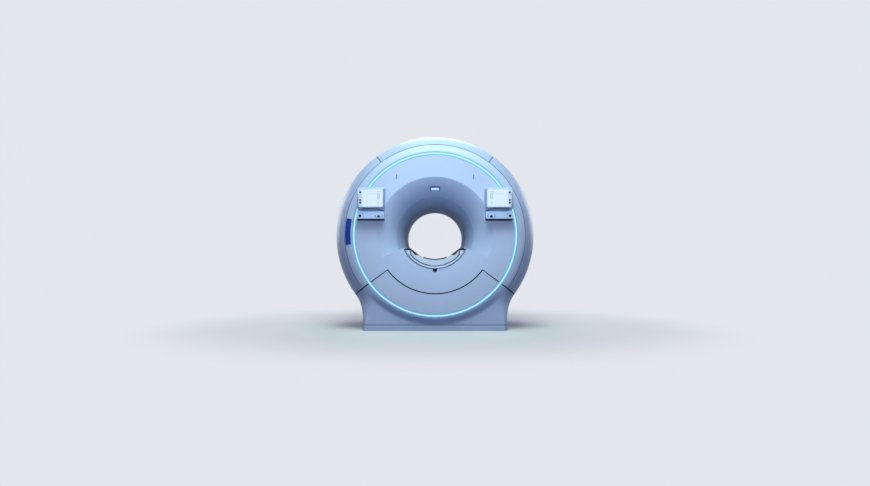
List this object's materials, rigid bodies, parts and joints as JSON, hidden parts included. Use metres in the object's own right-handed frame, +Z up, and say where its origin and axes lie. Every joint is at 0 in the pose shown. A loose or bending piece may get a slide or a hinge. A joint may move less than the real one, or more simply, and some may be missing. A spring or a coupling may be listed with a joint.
{
  "type": "mri scanner",
  "caption": "Closed-bore MRI magnet unit: round covers on a pedestal, light ring, flared bore with bridge and sliding tabletop, and a display and control panel each side.",
  "frame": {"origin": "on the floor, under the middle of the bore's length, at the centre of the anchor holes", "axes": "+Z up, -Y out of the front face, +X to the right as seen from the front; the bore runs along Y"},
  "size_m": [2.28, 1.766, 2.205],
  "materials": {
    "outer_shell": "satin moulded",
    "face_shell": "satin moulded",
    "bore_shell": "satin moulded",
    "light_diffuser": "opal, lit",
    "channel_metal": "extruded",
    "blue_plate": "gloss",
    "smoked_window": "gloss",
    "visor_clear": "gloss",
    "bridge_plastic": "satin",
    "tabletop_laminate": "satin",
    "black_polymer": "matt",
    "mat_foam": "matt",
    "socket_metal": "matt",
    "frame_steel": "powder coated",
    "vessel_steel": "ground",
    "cold_frame": "turned",
    "winding_copper": "resin bonded",
    "rod_composite": "wound",
    "gradient_resin": "cast",
    "body_coil_board": "laminated",
    "pad_rubber": "matt",
    "display_shell": "satin",
    "screen_glass": "gloss, lit",
    "button_black": "matt"
  },
  "bodies": {
    "gantry": {"plinth": "outer_shell", "front_pedestal_cover": "outer_shell", "rear_pedestal_cover": "outer_shell", "top_cover": "outer_shell", "left_side_cover": "outer_shell", "right_side_cover": "outer_shell", "front_bezel": "face_shell", "rear_bezel": "face_shell", "light_ring": "light_diffuser", "light_ring_channel": "channel_metal", "face_cover": "face_shell", "service_panel": "face_shell", "bore_liner": "bore_shell", "rear_cover": "face_shell", "side_plate": "blue_plate", "marker_windows": "smoked_window", "visor_housing": "smoked_window", "visor_lens": "visor_clear", "bridge": "black_polymer", "bridge_nose": "bridge_plastic", "ledge_strips": "black_polymer", "glide_strips": "black_polymer", "docking_socket": "socket_metal", "bridge_bracket": "frame_steel", "cover_frames": "frame_steel", "vessel_shell": "vessel_steel", "vessel_bore": "vessel_steel", "vessel_end_plates": "vessel_steel", "cold_mass_frame": "cold_frame", "main_coils": "winding_copper", "shield_coils": "winding_copper", "suspension_rods": "rod_composite", "gradient_coil": "gradient_resin", "gradient_wedges": "rod_composite", "body_coil": "body_coil_board", "liner_pads": "pad_rubber", "cold_head": "vessel_steel", "magnet_feet": "frame_steel", "isolation_pads": "pad_rubber", "left_bracket": "display_shell", "right_bracket": "display_shell", "left_display_housing": "display_shell", "right_display_housing": "display_shell", "left_screen": "screen_glass", "right_screen": "screen_glass", "left_control_panel": "display_shell", "right_control_panel": "display_shell"},
    "tabletop": {"tabletop": "tabletop_laminate", "tabletop_side_strips": "black_polymer", "tabletop_mat": "mat_foam"},
    "left_button_top": {"left_button_top": "button_black"},
    "left_button_mid": {"left_button_mid": "button_black"},
    "left_button_low": {"left_button_low": "button_black"},
    "left_push_button": {"left_push_button": "button_black"},
    "left_rocker": {"left_rocker": "button_black"},
    "right_button_top": {"right_button_top": "button_black"},
    "right_button_mid": {"right_button_mid": "button_black"},
    "right_button_low": {"right_button_low": "button_black"},
    "right_push_button": {"right_push_button": "button_black"},
    "right_rocker": {"right_rocker": "button_black"}
  },
  "joints": [
    {"name": "tabletop_slide", "type": "slide", "parent": "gantry", "child": "tabletop", "axis": [0, -1, 0], "range_m": [0, 1.2]},
    {"name": "left_button_top_press", "type": "slide", "parent": "gantry", "child": "left_button_top", "axis": [0, 1, 0], "range_m": [0, 0.0025], "stiffness_N_per_m": 600, "springref_m": -0.002},
    {"name": "left_button_mid_press", "type": "slide", "parent": "gantry", "child": "left_button_mid", "axis": [0, 1, 0], "range_m": [0, 0.0025], "stiffness_N_per_m": 600, "springref_m": -0.002},
    {"name": "left_button_low_press", "type": "slide", "parent": "gantry", "child": "left_button_low", "axis": [0, 1, 0], "range_m": [0, 0.0025], "stiffness_N_per_m": 600, "springref_m": -0.002},
    {"name": "left_push_button_press", "type": "slide", "parent": "gantry", "child": "left_push_button", "axis": [0, 1, 0], "range_m": [0, 0.004], "stiffness_N_per_m": 600, "springref_m": -0.002},
    {"name": "left_rocker_tilt", "type": "hinge", "parent": "gantry", "child": "left_rocker", "pos_m": [-0.611, -0.93, 1.2565], "axis": [0, 0, 1], "range_deg": [-12, 12], "stiffness_Nm_per_rad": 0.3},
    {"name": "right_button_top_press", "type": "slide", "parent": "gantry", "child": "right_button_top", "axis": [0, 1, 0], "range_m": [0, 0.0025], "stiffness_N_per_m": 600, "springref_m": -0.002},
    {"name": "right_button_mid_press", "type": "slide", "parent": "gantry", "child": "right_button_mid", "axis": [0, 1, 0], "range_m": [0, 0.0025], "stiffness_N_per_m": 600, "springref_m": -0.002},
    {"name": "right_button_low_press", "type": "slide", "parent": "gantry", "child": "right_button_low", "axis": [0, 1, 0], "range_m": [0, 0.0025], "stiffness_N_per_m": 600, "springref_m": -0.002},
    {"name": "right_push_button_press", "type": "slide", "parent": "gantry", "child": "right_push_button", "axis": [0, 1, 0], "range_m": [0, 0.004], "stiffness_N_per_m": 600, "springref_m": -0.002},
    {"name": "right_rocker_tilt", "type": "hinge", "parent": "gantry", "child": "right_rocker", "pos_m": [0.611, -0.93, 1.2565], "axis": [0, 0, 1], "range_deg": [-12, 12], "stiffness_Nm_per_rad": 0.3}
  ]
}
